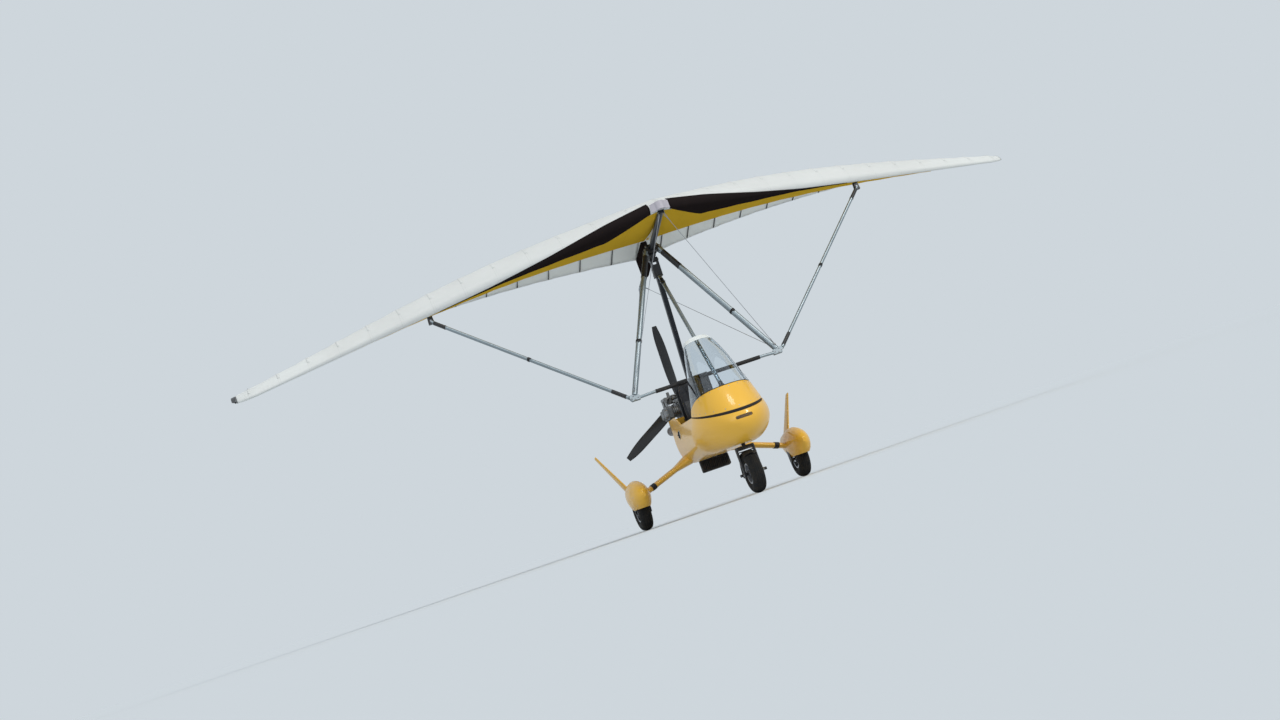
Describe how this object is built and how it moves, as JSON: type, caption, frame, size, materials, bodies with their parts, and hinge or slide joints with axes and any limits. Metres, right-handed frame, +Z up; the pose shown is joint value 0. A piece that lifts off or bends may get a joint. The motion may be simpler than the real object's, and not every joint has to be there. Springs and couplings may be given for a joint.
{
  "type": "two-seat flexwing microlight aircraft",
  "caption": "Weight-shift microlight: strut-braced fabric wing with a control frame on a tricycle pod with tandem seats, windscreen, spats and a pusher propeller.",
  "frame": {"origin": "on the ground under the middle of the whole aircraft's outline", "axes": "+Z up, the nose points to -Y, +X is the aircraft's left wing"},
  "size_m": [9, 3.258, 3.0953],
  "materials": {
    "sail_white": "satin",
    "sail_yellow": "satin",
    "sail_black": "satin",
    "nose_grey": "satin",
    "alloy": "satin",
    "black_fitting": "satin",
    "mast_paint": "satin",
    "wire": "satin",
    "pod_yellow": "gloss",
    "screen": "gloss",
    "lip": "gloss",
    "dark_trim": "matte",
    "seat_cloth": "matte",
    "tank": "satin",
    "engine_alloy": "satin",
    "exhaust_metal": "satin",
    "rim_alloy": "satin",
    "tyre": "matte",
    "blade": "satin"
  },
  "bodies": {
    "trike": {"mast": "mast_paint", "mast_head": "black_fitting", "front_strut": "alloy", "keel_beam": "black_fitting", "leg_left": "pod_yellow", "leg_right": "pod_yellow", "rear_axles": "black_fitting", "spat_left": "pod_yellow", "spat_right": "pod_yellow", "pod_tub": "pod_yellow", "nose_cowl": "pod_yellow", "windscreen": "screen", "screen_lip": "lip", "seal_strip": "dark_trim", "instrument_panel": "dark_trim", "front_seat": "seat_cloth", "fuel_tank": "tank", "rear_seat": "seat_cloth", "rear_coaming": "pod_yellow", "engine_frame": "black_fitting", "crankcase": "engine_alloy", "cylinders": "engine_alloy", "carburettors": "engine_alloy", "exhaust": "exhaust_metal", "radiator": "dark_trim"},
    "hang_block": {"hang_block": "black_fitting"},
    "wing": {"sail_left": "sail_white", "sail_right": "sail_white", "lower_sail_left": "sail_yellow", "lower_sail_right": "sail_yellow", "leading_band": "sail_black", "tip_caps": "black_fitting", "nose_cone": "nose_grey", "keel_tube": "mast_paint", "keel_pocket": "sail_white", "rear_pocket": "sail_black", "upright_left": "alloy", "upright_right": "alloy", "apex_bracket": "black_fitting", "base_bar": "alloy", "bar_grip": "dark_trim", "corner_fittings": "alloy", "strut_left": "alloy", "strut_right": "alloy", "strut_brackets": "black_fitting", "front_stays": "wire", "rear_stays": "wire"},
    "front_fork": {"front_fork": "black_fitting", "front_mudguard": "dark_trim"},
    "front_wheel": {"rim_front": "rim_alloy", "tyre_front": "tyre"},
    "rear_wheel_left": {"rim_rear_left": "rim_alloy", "tyre_rear_left": "tyre"},
    "rear_wheel_right": {"rim_rear_right": "rim_alloy", "tyre_rear_right": "tyre"},
    "propeller": {"propeller_hub": "blade", "propeller_blades": "blade"}
  },
  "joints": [
    {"name": "wing_pitch", "type": "hinge", "parent": "trike", "child": "hang_block", "pos_m": [0, -0.06, 2.6], "axis": [1, 0, 0], "range_deg": [-4, 16]},
    {"name": "wing_roll", "type": "hinge", "parent": "hang_block", "child": "wing", "pos_m": [0, -0.0419, 2.68816], "axis": [0, 0.9796, -0.2011], "range_deg": [-15, 15]},
    {"name": "steering", "type": "hinge", "parent": "trike", "child": "front_fork", "pos_m": [0, -1.15, 0.56], "axis": [0, 0.2419, 0.9703], "range_deg": [-25, 25]},
    {"name": "front_wheel_spin", "type": "hinge", "parent": "front_fork", "child": "front_wheel", "pos_m": [0, -1.2, 0.205], "axis": [1, 0, 0], "continuous": true},
    {"name": "rear_wheel_left_spin", "type": "hinge", "parent": "trike", "child": "rear_wheel_left", "pos_m": [0.885, 0.4, 0.205], "axis": [1, 0, 0], "continuous": true},
    {"name": "rear_wheel_right_spin", "type": "hinge", "parent": "trike", "child": "rear_wheel_right", "pos_m": [-0.885, 0.4, 0.205], "axis": [1, 0, 0], "continuous": true},
    {"name": "propeller_spin", "type": "hinge", "parent": "trike", "child": "propeller", "pos_m": [0, 1, 1.2], "axis": [0, 1, 0], "continuous": true}
  ]
}
